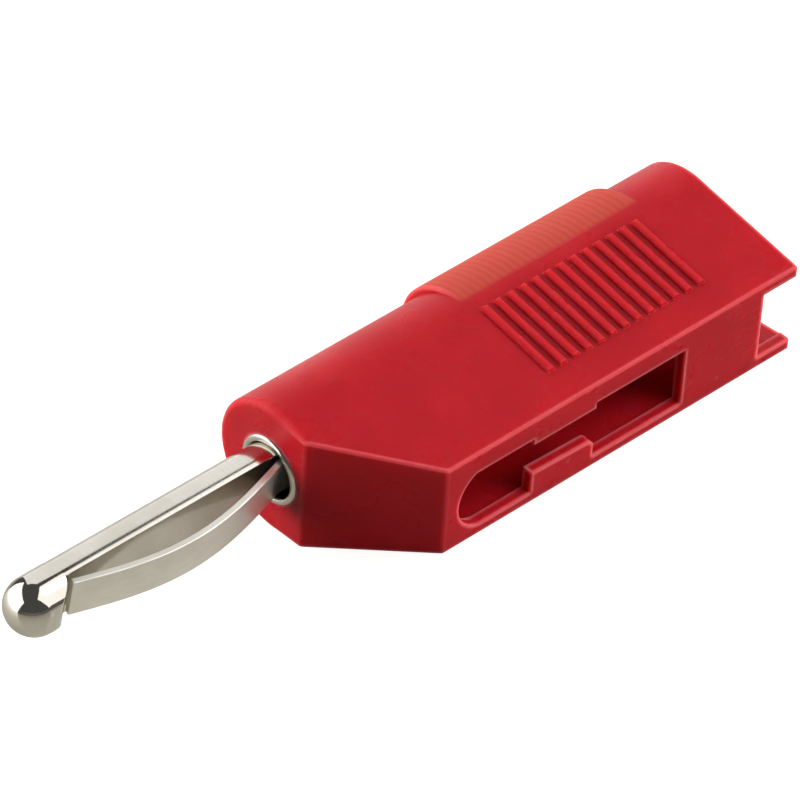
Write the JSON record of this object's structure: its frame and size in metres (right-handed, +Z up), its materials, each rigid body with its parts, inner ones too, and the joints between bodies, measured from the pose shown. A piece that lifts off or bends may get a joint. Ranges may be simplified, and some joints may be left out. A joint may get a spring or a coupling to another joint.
{
  "type": "banana plug",
  "caption": "Stackable 4 mm banana plug: bowed spring on a round-nosed pin, flat ribbed housing, rear socket in line with the pin and a side cable channel with a clamp screw.",
  "frame": {"origin": "the pin's axis at the housing's front face", "axes": "-X along the pin towards its nose, +X towards the rear socket, -Y towards the cable side, +Z up from the flat face that the plug lies on"},
  "size_m": [0.0578, 0.0158, 0.0099],
  "materials": {
    "housing": "moulded red polyamide with a soft sheen",
    "contact_body": "turned brass, bright nickel plate",
    "contact_pin": "turned brass, bright nickel plate",
    "bow_spring": "bronze strip, satin nickel plate",
    "clamp_washer": "zinc-plated steel",
    "clamp_screw": "zinc-plated steel"
  },
  "bodies": {
    "housing": {"housing": "housing", "contact_body": "contact_body", "contact_pin": "contact_pin"},
    "bow": {"bow_spring": "bow_spring"},
    "washer": {"clamp_washer": "clamp_washer"},
    "screw": {"clamp_screw": "clamp_screw"}
  },
  "joints": [
    {"name": "bow_flex", "type": "slide", "parent": "housing", "child": "bow", "axis": [0, 0.9625, 0.2714], "range_m": [0, 0.0006], "stiffness_N_per_m": 4000, "deforming": ["bow_spring"]},
    {"name": "clamp_travel", "type": "slide", "parent": "housing", "child": "washer", "axis": [0, -0.9909, -0.1349], "range_m": [0, 0.0015]},
    {"name": "clamp_turn", "type": "hinge", "parent": "washer", "child": "screw", "pos_m": [0.0096, 0, 0], "axis": [0, -0.9909, -0.1349], "range_deg": [0, 1080]}
  ],
  "couplings": [
    {"joint": "clamp_turn", "follows": "clamp_travel", "rad_per_m": 12566}
  ]
}
